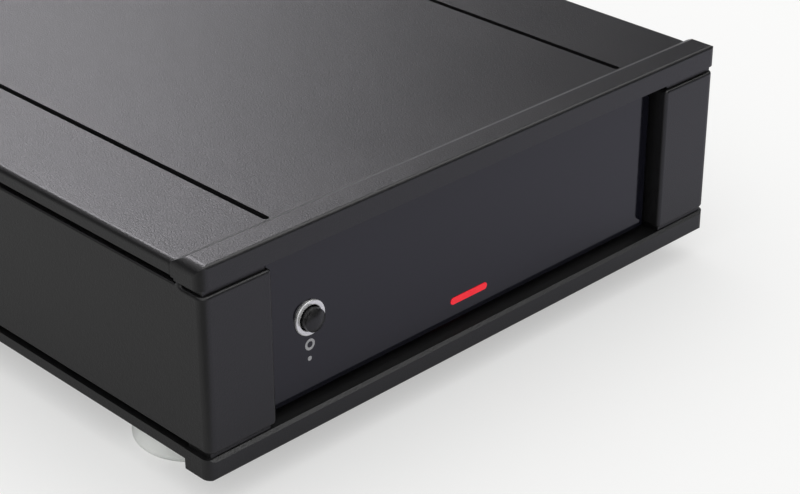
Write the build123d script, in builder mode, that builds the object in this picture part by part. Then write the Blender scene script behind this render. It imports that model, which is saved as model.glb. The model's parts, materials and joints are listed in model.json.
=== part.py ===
from build123d import *
import os
from math import radians, sqrt, tan

# A half-width phono preamplifier. The origin is on the floor under the middle of the object,
# +X is to the right seen from the front, +Y to the rear and +Z up. All sizes are in millimetres.

os.makedirs("parts", exist_ok=True)

# Overall case
case_width = 217.2
rail_width = 218.2  # the front rails stand out a little past the sides
overall_depth = 320.0  # front rails to the tip of the ground terminal
case_depth = 308.0  # front rails to the rear edge of the case
corner_radius = 2.8  # the upright corners of the case
rail_corner = 3.2
half_width = case_width / 2
rail_half = rail_width / 2
front = -overall_depth / 2
rear = front + case_depth
case_middle = (front + rear) / 2

# Heights above the floor
lower_rail_low = 10.2
base_low = 13.0
base_top = 16.5
lower_rail_top = 16.9
cheek_low = 18.5
cheek_high = 68.2
wall_high = 68.6
upper_rail_low = 70.1
cover_low = 70.75
cover_top = 75.3
rail_top = 77.4

# Rails and slots, as depths behind the front face
lower_rail_depth = 10.7
upper_rail_depth = 12.2
upper_rail_tail = 10.9
corner_slot_end = 9.3

# Cover grooves
groove_x = 74.3
groove_width = 2.1
groove_depth = 2.6
groove_start = front + upper_rail_depth + 0.2

# Side panels
wall_thickness = 4.0
cheek_width = 24.6
cheek_depth = 12.0
strip_width = 6.0
strip_height = 10.0
wall_inner = half_width - wall_thickness
strip_inner = wall_inner - strip_width
cheek_inner = half_width - cheek_width

# Front: fascia and the plate behind it
fascia_half_width = 82.1
fascia_low = 18.7
fascia_high = 68.0
fascia_thickness = 3.0
fascia_front = front + 5.3
fascia_back = fascia_front + fascia_thickness
plate_front = front + cheek_depth
plate_thickness = 1.5
plate_back = plate_front + plate_thickness
panel_gap = 0.1  # sheet panels stand this far from the case round them

# Power button
button_x = -66.4
button_z = 43.8
button_radius = 3.65
button_proud = 4.0
dome_height = 1.2
bezel_radius = 5.55
bezel_bore = 4.0
bezel_sleeve = 5.0
bezel_proud = 0.8
button_travel = 3.0

# Indicator: a slim lit bar in the fascia
window_x = -1.1
window_z = 25.6
window_width = 16.0
window_height = 2.4

# Rear panel and what it carries
panel_outer = rear - 3.0
panel_thickness = 2.0
panel_inner = panel_outer - panel_thickness
socket_columns = {"mm_input_sockets": 70.0, "mc_input_sockets": 50.0, "output_sockets": -26.0}
socket_rows = (37.0, 58.0)  # right channel, left channel
barrel_radius = 4.15
barrel_bore = 3.4
barrel_tip = panel_outer + 10.5
inlet_x = -70.0
inlet_z = 44.0
ground_x = 90.0
ground_z = 47.5
loading_x = 22.0
loading_z = 48.0
selector_x = -2.0
selector_z = 48.0

# Feet and screws
foot_x = 84.5
foot_front_y = front + 37.0
foot_rear_y = rear - 37.0
boot_radius = 18.7
core_radius = 15.0
foot_hole = 2.0
screw_radius = 1.45
screw_hole = 1.5
screw_bite = 2.2  # how far the long case screws reach into the cover
sink_radius = 3.1  # countersinks in the base
sink_depth = 1.6
hex_key = 1.1
hex_depth = 1.2
case_screw_x = 101.0
case_screw_y = (-85.0, -5.0, 75.0)
panel_screw_z = (22.0, 66.0)
panel_screw_length = 7.5

# Inside
board_low = 27.0
board_thickness = 1.6
board_top = board_low + board_thickness
board_x = (-50.0, 94.0)
board_y = (-36.0, 136.0)
transformer_x = 40.0
transformer_y = -88.0


def section(y):
    # The plane across the depth at y: its x is +X, its y is +Z, and it faces the front.
    return Plane((0, y, 0), x_dir=(1, 0, 0), z_dir=(0, -1, 0))


def block(x, y, z, mode=Mode.ADD):
    # A plain block between the limits x, y and z, in the part that is being made.
    with Locations(((x[0] + x[1]) / 2, (y[0] + y[1]) / 2, (z[0] + z[1]) / 2)):
        Box(abs(x[1] - x[0]), abs(y[1] - y[0]), abs(z[1] - z[0]), mode=mode)


def bar(centre, radius, y, mode=Mode.ADD):
    # A round bar along Y between the limits y, with its axis at centre (x, z).
    with Locations((centre[0], (y[0] + y[1]) / 2, centre[1])):
        Cylinder(radius, y[1] - y[0], rotation=(90, 0, 0), mode=mode)


def post(centre, radius, z, mode=Mode.ADD):
    # A round bar along Z between the limits z, with its axis at centre (x, y).
    with Locations((centre[0], centre[1], (z[0] + z[1]) / 2)):
        Cylinder(radius, z[1] - z[0], mode=mode)


def turning_plane(centre):
    # The plane of a turned profile about the Y axis line at centre (x, z): y along, radius up.
    return Plane((centre[0], 0, centre[1]), x_dir=(0, 1, 0), z_dir=(1, 0, 0))


def turning_axis(centre):
    return Axis((centre[0], 0, centre[1]), (0, 1, 0))


def save(piece, name):
    piece.part.label = name
    export_step(piece.part, f"parts/{name}.step")


# The plans of the case and of its rails, which round their upright corners
with BuildSketch() as case_plan:
    with Locations((0, case_middle)):
        RectangleRounded(case_width, case_depth, corner_radius)

with BuildSketch() as rail_plan:
    with Locations((0, case_middle)):
        RectangleRounded(rail_width, case_depth, rail_corner)


# Top cover: the plate and the raised front rail are one casting
crown_depth = 8.2  # the rail's level top, before it slopes down to the plate
nose_round = 1.1
crown_round = 3.0
rail_end_round = 3.4
cover_edge_round = 1.9
with BuildPart() as top_cover:
    with BuildSketch(Plane.YZ) as rail_profile:
        with BuildLine():
            Polyline(
                (front, upper_rail_low),
                (front, rail_top),
                (front + crown_depth, rail_top),
                (front + upper_rail_depth, cover_top),
                (front + upper_rail_depth, cover_low),
                (front + upper_rail_tail, cover_low),
                (front + upper_rail_tail, upper_rail_low),
                close=True,
            )
        make_face()
        crown_corners = rail_profile.vertices().group_by(Axis.Y)[-1].sort_by(Axis.X)
        fillet(crown_corners[0], nose_round)
        fillet(crown_corners[-1], crown_round)
    extrude(amount=rail_half, both=True)
    with BuildSketch(section(front)) as rail_outline:
        with Locations((0, rail_top)):
            Rectangle(rail_width, 2 * (rail_top - upper_rail_low), align=(Align.CENTER, Align.MAX))
        fillet(rail_outline.vertices().group_by(Axis.Y)[-1], rail_end_round)
    extrude(amount=-case_depth, mode=Mode.INTERSECT)
    extrude(rail_plan.sketch, amount=2 * rail_top, mode=Mode.INTERSECT)
    with BuildSketch(Plane.XY.offset(cover_low)):
        with Locations((0, (front + upper_rail_tail + rear) / 2)):
            RectangleRounded(case_width, case_depth - upper_rail_tail, corner_radius)
    extrude(amount=cover_top - cover_low)
    plate_face = top_cover.faces().filter_by(Axis.Z).sort_by(SortBy.AREA)[-2:].sort_by(Axis.Z)[-1]
    fillet(plate_face.edges().sort_by(Axis.Y)[1:], cover_edge_round)
    with BuildSketch(Plane.XY.offset(cover_top)):
        groove_length = rear + groove_width - groove_start
        with Locations(*[(x, groove_start + groove_length / 2) for x in (-groove_x, groove_x)]):
            SlotOverall(groove_length, groove_width, rotation=90)
    extrude(amount=-groove_depth, mode=Mode.SUBTRACT)
    for x in (-case_screw_x, case_screw_x):
        for y in case_screw_y:
            post((x, y), screw_hole, (cover_low, cover_low + screw_bite + 0.3), Mode.SUBTRACT)
save(top_cover, "top_cover")


# Base tray: the plate and the front rail that hangs below it are one casting
lower_rail_round = 0.7
lower_rail_bevel = 0.9
vent_length = 44.0
vent_width = 3.0
vent_pitch = 8.0
vent_middles = [(-22.0, transformer_y), (22.0, 50.0)]
with BuildPart() as base_tray:
    with BuildSketch(Plane.YZ) as base_profile:
        with BuildLine():
            Polyline(
                (front, lower_rail_low),
                (front, lower_rail_top),
                (front + lower_rail_depth, lower_rail_top),
                (front + lower_rail_depth, base_top),
                (rear, base_top),
                (rear, base_low),
                (front + lower_rail_depth, base_low),
                (front + lower_rail_depth, lower_rail_low),
                close=True,
            )
        make_face()
        fillet(base_profile.vertices().group_by(Axis.Y)[0].sort_by(Axis.X)[0], lower_rail_round)
        chamfer(base_profile.vertices().group_by(Axis.Y)[-1].sort_by(Axis.X)[0], lower_rail_bevel)
    extrude(amount=rail_half, both=True)
    extrude(rail_plan.sketch, amount=2 * rail_top, mode=Mode.INTERSECT)
    plate_y = (front + lower_rail_depth, rear)
    for side in (-1, 1):
        block((side * half_width, side * rail_width), plate_y, (0, rail_top), Mode.SUBTRACT)
    with BuildSketch(Plane.XY.offset(base_low)):
        with Locations(*vent_middles):
            with GridLocations(vent_pitch, 1, 8, 1):
                SlotOverall(vent_length, vent_width, rotation=90)
    extrude(amount=base_top - base_low, mode=Mode.SUBTRACT)
    for x in (-foot_x, foot_x):
        for y in (foot_front_y, foot_rear_y):
            post((x, y), foot_hole, (base_low, base_top), Mode.SUBTRACT)
    for x in (-case_screw_x, case_screw_x):
        for y in case_screw_y:
            post((x, y), screw_hole, (base_low, base_top), Mode.SUBTRACT)
            with Locations((x, y, base_low + sink_depth / 2)):
                Cone(sink_radius, screw_hole, sink_depth, mode=Mode.SUBTRACT)
save(base_tray, "base_tray")


# Side panels: a wall, a cheek that wraps round the front corner, and the inner tongue and
# strips that close the slots from behind and take the screws
corner_slot_height = upper_rail_low - cheek_high
side_slot_height = cover_low - wall_high
cheek_round = 1.2
slot_depth = 1.3  # of the slots that run round the front corners
slot_edge_rounds = {cheek_low: 1.1, cheek_high: 1.1, wall_high: 0.6}
panel_screw_hole = (panel_inner - panel_screw_length - 1.5, panel_inner)
for name, side in (("left_side_panel", -1), ("right_side_panel", 1)):
    wall_x = (side * wall_inner, side * half_width)
    strip_x = (side * strip_inner, side * wall_inner)
    with BuildPart() as side_panel:
        block((side * cheek_inner, side * half_width), (front, plate_front), (cheek_low, cheek_high))
        block(wall_x, (front, front + upper_rail_tail), (cheek_low, upper_rail_low))
        block(wall_x, (front + upper_rail_tail, rear), (cheek_low, cover_low))
        with BuildSketch(Plane.YZ.offset(min(wall_x))):
            with Locations((front + corner_slot_end, cheek_high + corner_slot_height / 2)):
                SlotOverall(4 * corner_slot_end, corner_slot_height, align=(Align.MAX, Align.CENTER))
            with Locations((front + upper_rail_tail, wall_high + side_slot_height / 2)):
                SlotOverall(2 * case_depth, side_slot_height, align=(Align.MIN, Align.CENTER))
                Rectangle(case_depth, side_slot_height, align=(Align.MIN, Align.MIN))
        extrude(amount=wall_thickness, mode=Mode.SUBTRACT)
        extrude(case_plan.sketch, amount=2 * rail_top, mode=Mode.INTERSECT)
        upright_edges = side_panel.edges().filter_by(Axis.Z).group_by(Axis.Y)[0]
        fillet(upright_edges.sort_by(lambda e: abs(e.center().X))[0], cheek_round)
        for height, edge_round in slot_edge_rounds.items():
            level_edges = side_panel.edges().filter_by(lambda e: e.bounding_box().size.Z < 0.01)
            slot_edges = level_edges.filter_by(lambda e: abs(e.center().Z - height) < 0.1)
            outside_edges = slot_edges.filter_by(
                lambda e: e.center().Y < front + 1 or abs(e.center().X) > half_width - 1
            )
            fillet(outside_edges, edge_round)
        tongue_z = (lower_rail_top, upper_rail_low)
        tongue_x = (side * (cheek_inner + 1.5), side * (half_width - slot_depth))
        block(tongue_x, (front + slot_depth, front + upper_rail_tail), tongue_z)
        block((tongue_x[0], side * wall_inner), (front + slot_depth, plate_front), tongue_z)
        block(strip_x, (plate_back, panel_inner), (base_top, base_top + strip_height))
        block(strip_x, (plate_back, panel_inner), (cover_low - strip_height, cover_low))
        for y in case_screw_y:
            post((side * case_screw_x, y), screw_hole, (base_top, cover_low), Mode.SUBTRACT)
        for z in panel_screw_z:
            bar((side * case_screw_x, z), screw_hole, panel_screw_hole, Mode.SUBTRACT)
    save(side_panel, name)


# Fascia: a gloss panel with an eased front edge, set back between the cheeks
fascia_middle = (fascia_low + fascia_high) / 2
fascia_height = fascia_high - fascia_low
with BuildPart() as fascia_panel:
    with BuildSketch(section(fascia_back)):
        with Locations((0, fascia_middle)):
            RectangleRounded(2 * fascia_half_width, fascia_height, 0.8)
        with Locations((button_x, button_z)):
            Circle(bezel_sleeve, mode=Mode.SUBTRACT)
        with Locations((window_x, window_z)):
            SlotOverall(window_width, window_height, mode=Mode.SUBTRACT)
    extrude(amount=fascia_thickness)
    chamfer(fascia_panel.faces().sort_by(Axis.Y)[0].outer_wire().edges(), 0.3)
save(fascia_panel, "fascia_panel")


# Inner front plate: carries the fascia on four bosses, with the button and light behind it
boss_radius = 3.0
boss_x = 72.0
boss_z = (26.0, 61.0)
light_slot = (window_width + 2.0, window_height + 2.0)
with BuildPart() as inner_front_plate:
    plate_x = wall_inner - panel_gap
    block((-plate_x, plate_x), (plate_front, plate_back), (base_top + panel_gap, cover_low - panel_gap))
    for x in (-boss_x, boss_x):
        for z in boss_z:
            bar((x, z), boss_radius, (fascia_back, plate_front))
    bar((button_x, button_z), bezel_sleeve + 1.0, (fascia_back, plate_back), Mode.SUBTRACT)
    block(
        (window_x - light_slot[0] / 2, window_x + light_slot[0] / 2),
        (plate_front, plate_back),
        (window_z - light_slot[1] / 2, window_z + light_slot[1] / 2),
        Mode.SUBTRACT,
    )
save(inner_front_plate, "inner_front_plate")


# Power button: a domed cap in a bright bezel, on a rod that works the mains switch
button_axis = (button_x, button_z)
cap_tip = fascia_front - button_proud
cap_shoulder = cap_tip + dome_height
cap_back = fascia_back + 1.0
dome_radius = (button_radius**2 + dome_height**2) / (2 * dome_height)
dome_middle = (cap_tip + dome_radius - sqrt(dome_radius**2 - button_radius**2 / 4), button_radius / 2)
rod_side = 5.0
pocket_floor = -102.0
spring_shortest = 7.0
rod_tip = pocket_floor - spring_shortest - button_travel
with BuildPart() as power_button:
    with BuildSketch(turning_plane(button_axis)):
        with BuildLine():
            Polyline((cap_tip, 0), (cap_back, 0), (cap_back, button_radius), (cap_shoulder, button_radius))
            ThreePointArc((cap_shoulder, button_radius), dome_middle, (cap_tip, 0))
        make_face()
    revolve(axis=turning_axis(button_axis))
save(power_button, "power_button")

with BuildPart() as button_bezel:
    with BuildSketch(turning_plane(button_axis)) as bezel_profile:
        with BuildLine():
            Polyline(
                (fascia_front - bezel_proud, bezel_bore),
                (fascia_back + 0.5, bezel_bore),
                (fascia_back + 0.5, bezel_sleeve),
                (fascia_front, bezel_sleeve),
                (fascia_front, bezel_radius),
                (fascia_front - bezel_proud, bezel_radius),
                close=True,
            )
        make_face()
        fillet(bezel_profile.vertices().group_by(Axis.X)[0], 0.35)
    revolve(axis=turning_axis(button_axis))
save(button_bezel, "button_bezel")

with BuildPart() as button_rod:
    rod_x = (button_x - rod_side / 2, button_x + rod_side / 2)
    block(rod_x, (cap_back, rod_tip), (button_z - rod_side / 2, button_z + rod_side / 2))
save(button_rod, "button_rod")


# Mains switch: a housing whose pocket takes the rod's end and the return spring, on a bracket
switch_y = (-122.0, -98.0)
switch_half = 7.0
pocket_half = 3.0
terminal_x = 4.0
terminal_size = (0.8, 5.0, 4.0)
with BuildPart() as switch_housing:
    switch_x = (button_x - switch_half, button_x + switch_half)
    block(switch_x, switch_y, (button_z - switch_half, button_z + switch_half))
    fillet(switch_housing.edges().filter_by(Axis.Y), 0.8)
    pocket_x = (button_x - pocket_half, button_x + pocket_half)
    pocket_z = (button_z - pocket_half, button_z + pocket_half)
    block(pocket_x, (switch_y[0], pocket_floor), pocket_z, Mode.SUBTRACT)
    for x in (button_x - terminal_x, button_x + terminal_x):
        with Locations((x, switch_y[1] + terminal_size[1] / 2, button_z)):
            Box(*terminal_size)
save(switch_housing, "switch_housing")

spring_wire = 0.3
spring_radius = 1.9
spring_length = pocket_floor - rod_tip - 2 * spring_wire - 0.1
with BuildPart() as switch_spring:
    with BuildLine() as coil:
        spring_start = (button_x, rod_tip + spring_wire + 0.05, button_z)
        Helix(spring_length / 5, spring_length, spring_radius, center=spring_start, direction=(0, 1, 0))
    with BuildSketch(Plane(origin=coil.line @ 0, z_dir=coil.line % 0)):
        Circle(spring_wire)
    sweep(path=coil.line, is_frenet=True)
save(switch_spring, "switch_spring")

bracket_sheet = 1.5
bracket_inset = 3.0
with BuildPart() as switch_bracket:
    bracket_x = (button_x - switch_half - 1.0 - bracket_sheet, button_x + switch_half)
    bracket_y = (switch_y[0] + bracket_inset, switch_y[1] - bracket_inset)
    shelf_z = button_z - switch_half
    block((bracket_x[0], bracket_x[0] + bracket_sheet), bracket_y, (base_top, shelf_z))
    block(bracket_x, bracket_y, (shelf_z - bracket_sheet, shelf_z))
    block((bracket_x[0], bracket_x[1] - bracket_inset), bracket_y, (base_top, base_top + bracket_sheet))
save(switch_bracket, "switch_bracket")


# Indicator: a light guide in the fascia, lit from a small board behind the inner plate
guide_gap = 0.05
with BuildPart() as indicator_window:
    with BuildSketch(section(fascia_back)):
        with Locations((window_x, window_z)):
            SlotOverall(window_width - 2 * guide_gap, window_height - 2 * guide_gap)
    extrude(amount=fascia_thickness + 0.15)
    with BuildSketch(section(fascia_back + 1.2)):
        with Locations((window_x, window_z)):
            SlotOverall(window_width + 1.6, window_height + 1.6)
    extrude(amount=1.2)
save(indicator_window, "indicator_window")

light_board_x = (window_x - 14.0, window_x + 14.0)
light_board_z = (window_z - 4.5, window_z + 6.5)
with BuildPart() as indicator_board:
    block(light_board_x, (plate_back, plate_back + 1.6), light_board_z)
    block((window_x - 4, window_x + 4), (plate_back + 1.6, plate_back + 5.6), (window_z + 1, window_z + 6))
save(indicator_board, "indicator_board")

with BuildPart() as indicator_leds:
    for x in (-5.0, 0.0, 5.0):
        led_x = (window_x + x - 1.4, window_x + x + 1.4)
        block(led_x, (plate_back - 1.3, plate_back), (window_z - 0.8, window_z + 0.8))
save(indicator_leds, "indicator_leds")


# Rear panel: a sheet between the side walls, with a cut-out for each fitting
ground_axis = (ground_x, ground_z)
inlet_body = (26.8, 30.0)
loading_body = (17.2, 10.0)
selector_slot = (9.4, 4.2)
with BuildPart() as rear_panel:
    with BuildSketch(section(panel_outer)):
        with Locations((0, (base_top + cover_low) / 2)):
            Rectangle(2 * (wall_inner - panel_gap), cover_low - base_top - 2 * panel_gap)
        with Locations(*[(x, z) for x in socket_columns.values() for z in socket_rows]):
            Circle(barrel_radius + 0.55, mode=Mode.SUBTRACT)
        with Locations(*[(x, z) for x in (-case_screw_x, case_screw_x) for z in panel_screw_z]):
            Circle(screw_hole + 0.1, mode=Mode.SUBTRACT)
        with Locations((inlet_x, inlet_z)):
            Rectangle(inlet_body[0] + 0.4, inlet_body[1] + 0.4, mode=Mode.SUBTRACT)
        with Locations((loading_x, loading_z)):
            Rectangle(loading_body[0] + 0.2, loading_body[1] + 0.2, mode=Mode.SUBTRACT)
        with Locations((selector_x, selector_z)):
            Rectangle(*selector_slot, mode=Mode.SUBTRACT)
        with Locations(ground_axis):
            Circle(2.2, mode=Mode.SUBTRACT)
    extrude(amount=panel_thickness)
save(rear_panel, "rear_panel")

button_head = (2.75, 2.0)  # radius and height of a button-headed screw
with BuildPart() as rear_panel_screws:
    for x in (-case_screw_x, case_screw_x):
        for z in panel_screw_z:
            bar((x, z), screw_radius, (panel_inner - panel_screw_length, panel_outer))
            with BuildSketch(turning_plane((x, z))) as head_profile:
                with BuildLine():
                    Polyline(
                        (panel_outer, 0),
                        (panel_outer, button_head[0]),
                        (panel_outer + button_head[1], button_head[0]),
                        (panel_outer + button_head[1], 0),
                        close=True,
                    )
                make_face()
                fillet(head_profile.vertices().sort_by(lambda v: v.X + v.Y)[-1], 0.6 * button_head[1])
            revolve(axis=turning_axis((x, z)))
            with BuildSketch(section(panel_outer + button_head[1])):
                with Locations((x, z)):
                    RegularPolygon(hex_key, 6)
            extrude(amount=hex_depth, mode=Mode.SUBTRACT)
save(rear_panel_screws, "rear_panel_screws")


# Phono sockets: metal shells in pairs, with coloured collars, inserts and centre contacts
collar_face = panel_outer + 1.5
barrel_root = collar_face + 0.1
neck_radius = barrel_radius - 0.2
insert_back = panel_inner - 4.0
for name, x in socket_columns.items():
    with BuildPart() as socket_pair:
        for z in socket_rows:
            with BuildSketch(section(panel_inner)):
                with Locations((x, z)):
                    RegularPolygon(6.4, 6)
                    Circle(barrel_bore, mode=Mode.SUBTRACT)
            extrude(amount=2.5)
            with BuildSketch(turning_plane((x, z))) as barrel_profile:
                with BuildLine():
                    Polyline(
                        (panel_inner - 0.5, barrel_bore),
                        (barrel_tip, barrel_bore),
                        (barrel_tip, barrel_radius),
                        (barrel_root, barrel_radius),
                        (barrel_root, neck_radius),
                        (panel_inner - 0.5, neck_radius),
                        close=True,
                    )
                make_face()
                chamfer(barrel_profile.vertices().group_by(Axis.X)[-1].sort_by(Axis.Y)[-1], 0.3)
            revolve(axis=turning_axis((x, z)))
    save(socket_pair, name)

for name, z in (("socket_collars_red", socket_rows[0]), ("socket_collars_white", socket_rows[1])):
    with BuildPart() as collars:
        for x in socket_columns.values():
            bar((x, z), barrel_radius + 0.5, (panel_inner + 0.05, panel_outer))
            bar((x, z), barrel_radius + 1.6, (panel_outer, collar_face))
            bar((x, z), neck_radius + 0.05, (panel_inner, collar_face), Mode.SUBTRACT)
    save(collars, name)

contact_radius = 2.0
contact_bore = 1.6
with BuildPart() as socket_inserts:
    for x in socket_columns.values():
        for z in socket_rows:
            bar((x, z), barrel_bore, (insert_back, barrel_tip - 0.2))
            bar((x, z), contact_radius, (insert_back, barrel_tip - 0.2), Mode.SUBTRACT)
save(socket_inserts, "socket_inserts")

with BuildPart() as socket_contacts:
    for x in socket_columns.values():
        for z in socket_rows:
            bar((x, z), contact_radius, (insert_back, barrel_tip - 0.5))
            bar((x, z), 0.8, (insert_back - 5.0, insert_back))
            bar((x, z), contact_bore, (panel_outer + 1.0, barrel_tip - 0.5), Mode.SUBTRACT)
save(socket_contacts, "socket_contacts")


# Mains inlet: a housing with the plug's recess above and the slot of the fuse drawer below
inlet_back = 118.0
inlet_face = panel_outer + 2.5
recess_z = inlet_z + 6.0
recess_size = (24.2, 16.5)
recess_floor = inlet_face - 17.0
pin_size = (2.0, 4.0)
pin_places = [(inlet_x - 7.0, recess_z - 2.0), (inlet_x + 7.0, recess_z - 2.0), (inlet_x, recess_z + 2.0)]
drawer_z = inlet_z - 9.5
drawer_size = (22.0, 8.0)
drawer_back = 129.0
with BuildPart() as mains_inlet:
    with BuildSketch(section(inlet_back)):
        with Locations((inlet_x, inlet_z)):
            Rectangle(*inlet_body)
    extrude(amount=inlet_back - panel_outer)
    with BuildSketch(section(panel_outer)):
        with Locations((inlet_x, inlet_z)):
            RectangleRounded(31.0, 34.0, 2.0)
    extrude(amount=panel_outer - inlet_face)
    chamfer(mains_inlet.faces().sort_by(Axis.Y)[-1].outer_wire().edges(), 0.6)
    with BuildSketch(section(recess_floor)) as recess_shape:
        with Locations((inlet_x, recess_z)):
            Rectangle(*recess_size)
        chamfer(recess_shape.vertices().group_by(Axis.Y)[-1], 3.5)
        fillet(recess_shape.vertices(), 0.8)
    extrude(amount=recess_floor - inlet_face, mode=Mode.SUBTRACT)
    with BuildSketch(section(drawer_back - 1.0)):
        with Locations((inlet_x, drawer_z)):
            Rectangle(drawer_size[0] + 0.4, drawer_size[1] + 0.4)
    extrude(amount=drawer_back - 1.0 - inlet_face, mode=Mode.SUBTRACT)
    with BuildSketch(section(inlet_back)):
        with Locations(*pin_places):
            Rectangle(*pin_size)
    extrude(amount=inlet_back - recess_floor, mode=Mode.SUBTRACT)
save(mains_inlet, "mains_inlet")

pin_back = inlet_back - 6.0
pin_tip = inlet_face - 3.5
with BuildPart() as inlet_pins:
    with BuildSketch(section(pin_back)):
        with Locations(*pin_places):
            Rectangle(*pin_size)
    extrude(amount=pin_back - pin_tip)
    chamfer(inlet_pins.faces().filter_by(Axis.Y).group_by(Axis.Y)[-1].edges(), 0.5)
save(inlet_pins, "inlet_pins")

fuse_y = drawer_back + 7.0
fuse_radius = 2.6
fuse_length = 20.0
with BuildPart() as fuse_drawer:
    drawer_x = (inlet_x - drawer_size[0] / 2, inlet_x + drawer_size[0] / 2)
    block(drawer_x, (drawer_back, inlet_face), (drawer_z - drawer_size[1] / 2, drawer_z + drawer_size[1] / 2))
    with BuildSketch(section(inlet_face)):
        with Locations((inlet_x, drawer_z)):
            RectangleRounded(drawer_size[0] + 1.6, drawer_size[1] + 1.2, 0.8)
    extrude(amount=-1.3)
    with Locations((inlet_x, inlet_face + 1.3, drawer_z + drawer_size[1] / 2)):
        Cylinder(1.6, 7.0, rotation=(0, 90, 0), mode=Mode.SUBTRACT)
    tray_x = (inlet_x - fuse_length / 2 - 0.3, inlet_x + fuse_length / 2 + 0.3)
    tray_y = (fuse_y - fuse_radius - 0.1, fuse_y + fuse_radius + 0.1)
    block(tray_x, tray_y, (drawer_z - fuse_radius - 0.1, drawer_z + drawer_size[1] / 2), Mode.SUBTRACT)
save(fuse_drawer, "fuse_drawer")

with BuildPart() as mains_fuse:
    with Locations((inlet_x, fuse_y, drawer_z)):
        Cylinder(fuse_radius - 0.3, fuse_length, rotation=(0, 90, 0))
    for x in (-1, 1):
        with Locations((inlet_x + x * (fuse_length / 2 - 2.5), fuse_y, drawer_z)):
            Cylinder(fuse_radius, 5.0, rotation=(0, 90, 0))
save(mains_fuse, "mains_fuse")


# Ground terminal: a threaded post with its fixed nuts, a loose washer and a knurled thumb nut
post_radius = 1.97
washer_radius = 4.5
washer_y = (panel_outer + 2.3, panel_outer + 3.1)
thumb_radius = 5.2
thumb_low = washer_y[1] + 0.1
thumb_tip = overall_depth / 2
knurl_count = 24
with BuildPart() as ground_post:
    bar(ground_axis, post_radius, (panel_inner - 6.0, thumb_tip - 3.0))
    with BuildSketch(section(panel_inner)):
        with Locations(ground_axis):
            RegularPolygon(4.4, 6)
    extrude(amount=2.4)
    with BuildSketch(section(panel_outer)):
        with Locations(ground_axis):
            RegularPolygon(4.6, 6)
    extrude(amount=-2.2)
save(ground_post, "ground_post")

with BuildPart() as ground_washer:
    bar(ground_axis, washer_radius, washer_y)
    bar(ground_axis, post_radius + 0.08, washer_y, Mode.SUBTRACT)
save(ground_washer, "ground_washer")

with BuildPart() as ground_thumb_nut:
    bar(ground_axis, thumb_radius, (thumb_low, thumb_tip))
    chamfer(ground_thumb_nut.edges().filter_by(GeomType.CIRCLE), 0.6)
    with BuildSketch(section(thumb_low)):
        with Locations(ground_axis):
            with PolarLocations(thumb_radius + 0.15, knurl_count):
                Circle(0.45)
    extrude(amount=thumb_low - thumb_tip, mode=Mode.SUBTRACT)
    bar(ground_axis, post_radius + 0.06, (thumb_low, thumb_tip - 2.0), Mode.SUBTRACT)
save(ground_thumb_nut, "ground_thumb_nut")


# Loading switch: a block with six sliding levers, all down at rest
lever_pitch = 2.54
lever_size = (1.3, 1.9)
lever_travel = 2.1
lever_slot = (1.5, lever_size[1] + lever_travel + 0.2)
lever_floor = panel_outer - 1.5
lever_places = [loading_x + (k - 2.5) * lever_pitch for k in range(6)]
with BuildPart() as loading_switch:
    with BuildSketch(section(panel_outer - 8.0)):
        with Locations((loading_x, loading_z)):
            Rectangle(*loading_body)
    extrude(amount=-8.2)
    with BuildSketch(section(lever_floor)):
        with Locations(*[(x, loading_z) for x in lever_places]):
            Rectangle(*lever_slot)
    extrude(amount=-2.0, mode=Mode.SUBTRACT)
save(loading_switch, "loading_switch")

for k, x in enumerate(lever_places):
    with BuildPart() as loading_lever:
        with BuildSketch(section(lever_floor + 0.05)):
            with Locations((x, loading_z - lever_travel / 2)):
                Rectangle(*lever_size)
        extrude(amount=-2.4)
        fillet(loading_lever.faces().sort_by(Axis.Y)[-1].edges(), 0.25)
    save(loading_lever, f"loading_lever_{k + 1}")


# Input selector: a slide switch behind the panel, its lever at the left stop at rest
selector_travel = 4.6
selector_lever_size = (4.4, 3.8)
selector_floor = panel_inner - 4.0
with BuildPart() as selector_switch:
    with BuildSketch(section(panel_inner - 8.0)):
        with Locations((selector_x, selector_z)):
            Rectangle(19.0, 8.0)
    extrude(amount=-8.0)
    with BuildSketch(section(selector_floor)):
        with Locations((selector_x, selector_z)):
            Rectangle(*selector_slot)
    extrude(amount=-4.0, mode=Mode.SUBTRACT)
save(selector_switch, "selector_switch")

with BuildPart() as selector_lever:
    with BuildSketch(section(selector_floor + 0.05)):
        with Locations((selector_x - selector_travel / 2, selector_z)):
            Rectangle(*selector_lever_size)
    extrude(amount=selector_floor + 0.05 - (panel_outer + 3.5))
    fillet(selector_lever.faces().sort_by(Axis.Y)[-1].edges(), 0.5)
    for x in (-1.2, 0.0, 1.2):
        with Locations((selector_x - selector_travel / 2 + x, panel_outer + 3.5, selector_z)):
            Cylinder(0.3, selector_lever_size[1], mode=Mode.SUBTRACT)
save(selector_lever, "selector_lever")


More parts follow.
